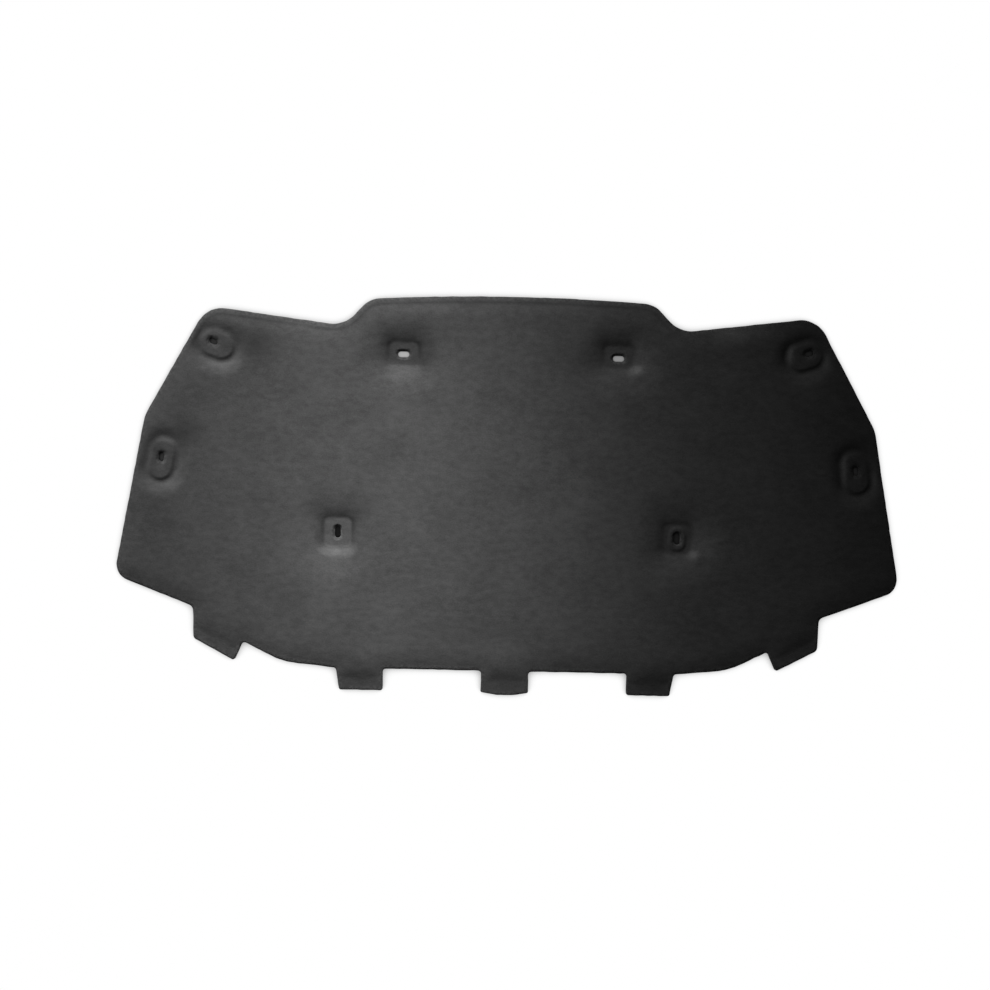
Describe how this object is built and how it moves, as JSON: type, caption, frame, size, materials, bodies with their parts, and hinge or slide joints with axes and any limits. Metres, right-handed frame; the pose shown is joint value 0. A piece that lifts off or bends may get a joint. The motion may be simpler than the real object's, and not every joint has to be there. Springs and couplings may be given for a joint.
{
  "type": "hood insulation pad",
  "caption": "Moulded black felt pad that lines the underside of a car hood, with a pressed rim, sunk clip pockets, raised oval seats and edge tabs.",
  "frame": {"origin": "middle of the pad's bounding box on its flat back, the side that faces the hood", "axes": "+X to one end, +Y toward the edge with the raised middle, -Y toward the tabs, +Z out of the face that looks at the engine"},
  "size_m": [1.2036, 0.6144, 0.014],
  "materials": {
    "felt": "dull, dry, hot-pressed needled felt"
  },
  "bodies": {
    "root": {"insulation_pad": "felt"}
  },
  "joints": []
}
